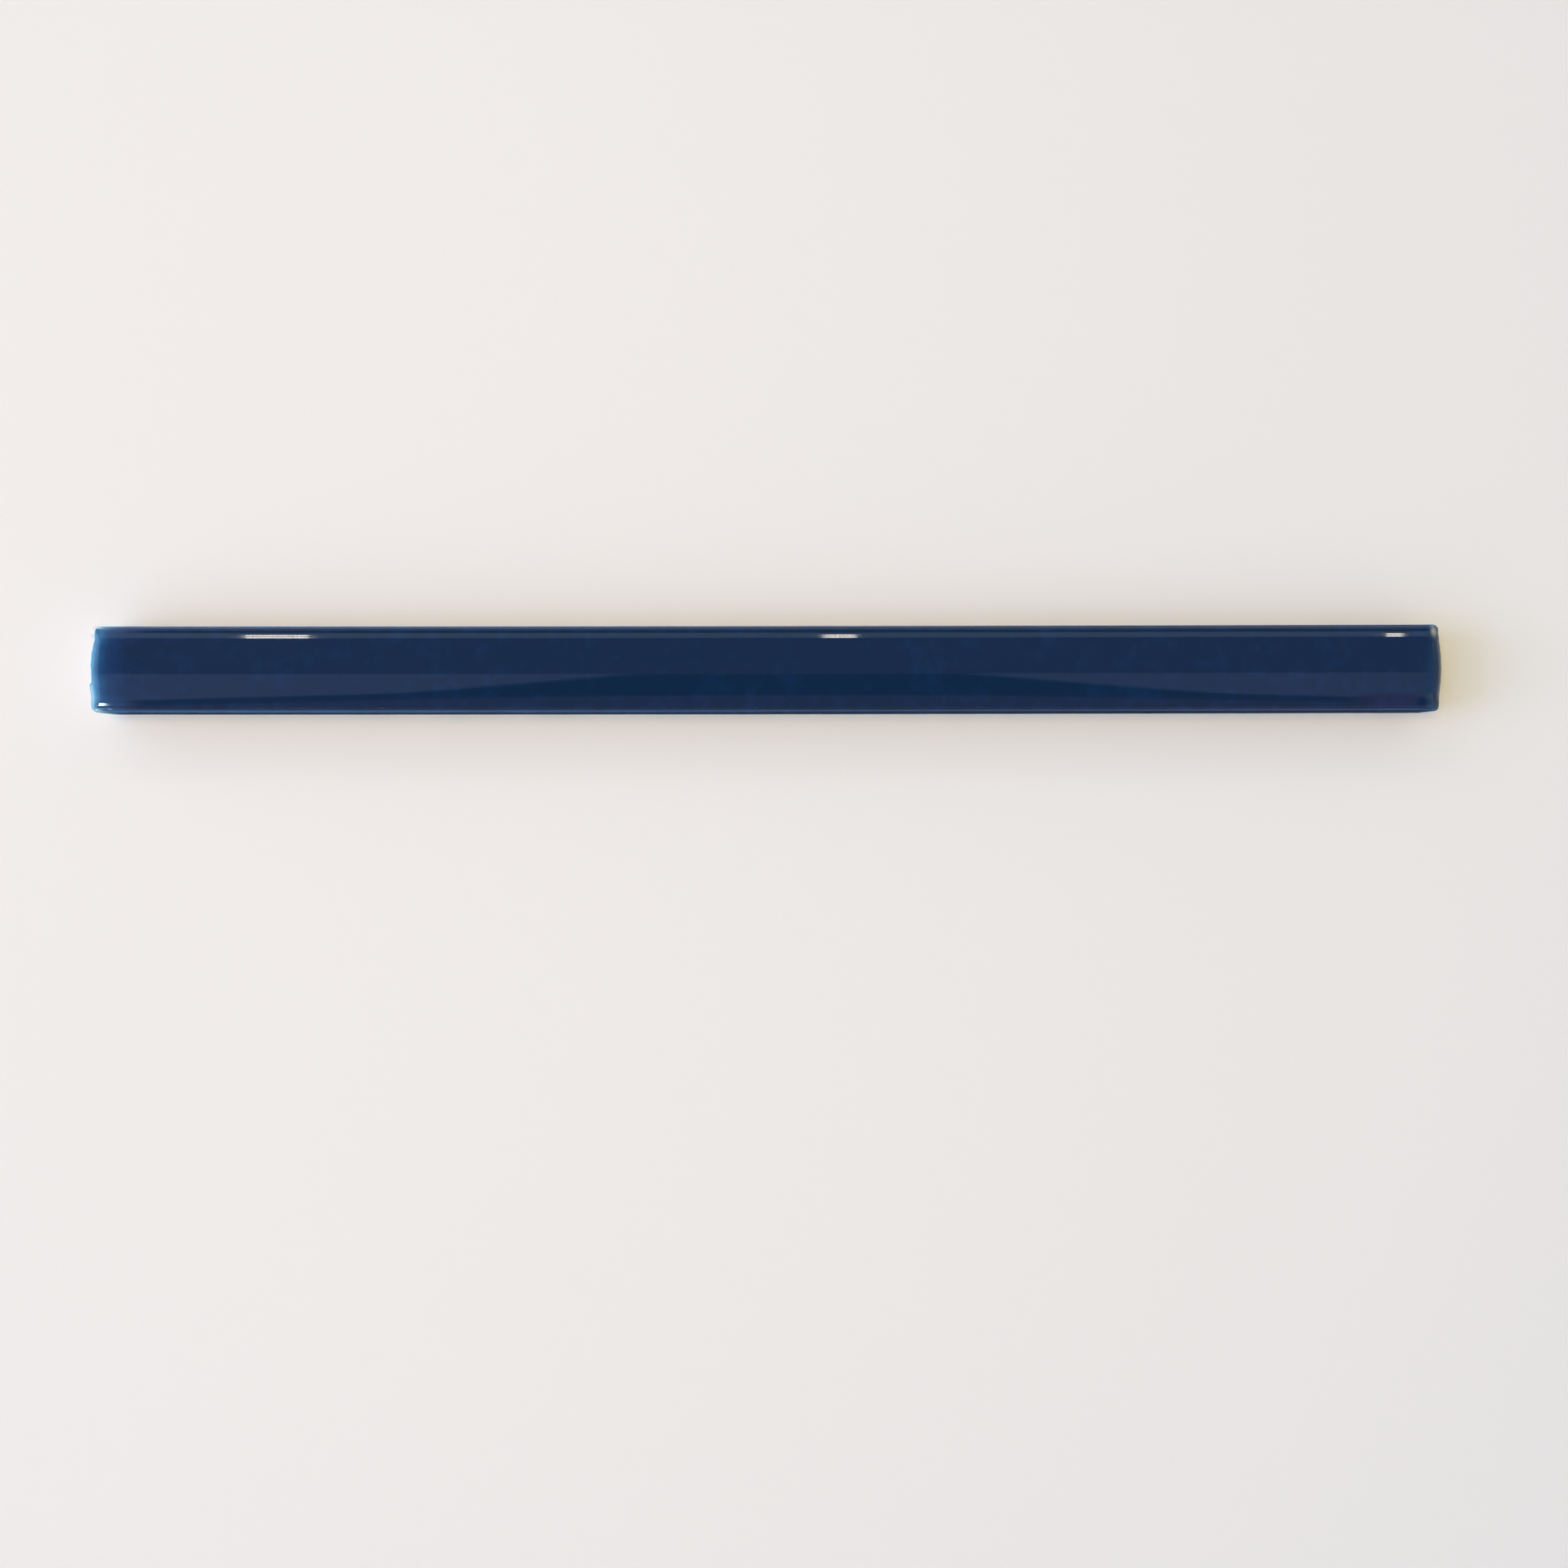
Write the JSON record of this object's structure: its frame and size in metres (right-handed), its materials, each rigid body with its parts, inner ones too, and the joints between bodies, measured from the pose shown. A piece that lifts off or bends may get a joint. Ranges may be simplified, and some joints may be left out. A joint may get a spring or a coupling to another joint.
{
  "type": "pencil liner tile",
  "caption": "Narrow glazed ceramic trim tile with a low domed face, soft edges and a flat back for bedding on a wall",
  "frame": {"origin": "centre of the flat back", "axes": "+X along the length, +Y across the width, +Z from the back out through the domed face"},
  "size_m": [0.2, 0.013, 0.009],
  "materials": {
    "blue_glaze": "transparent cobalt gloss glaze over a white clay body, paler where it thins at the edges"
  },
  "bodies": {
    "root": {"pencil_liner": "blue_glaze"}
  },
  "joints": []
}
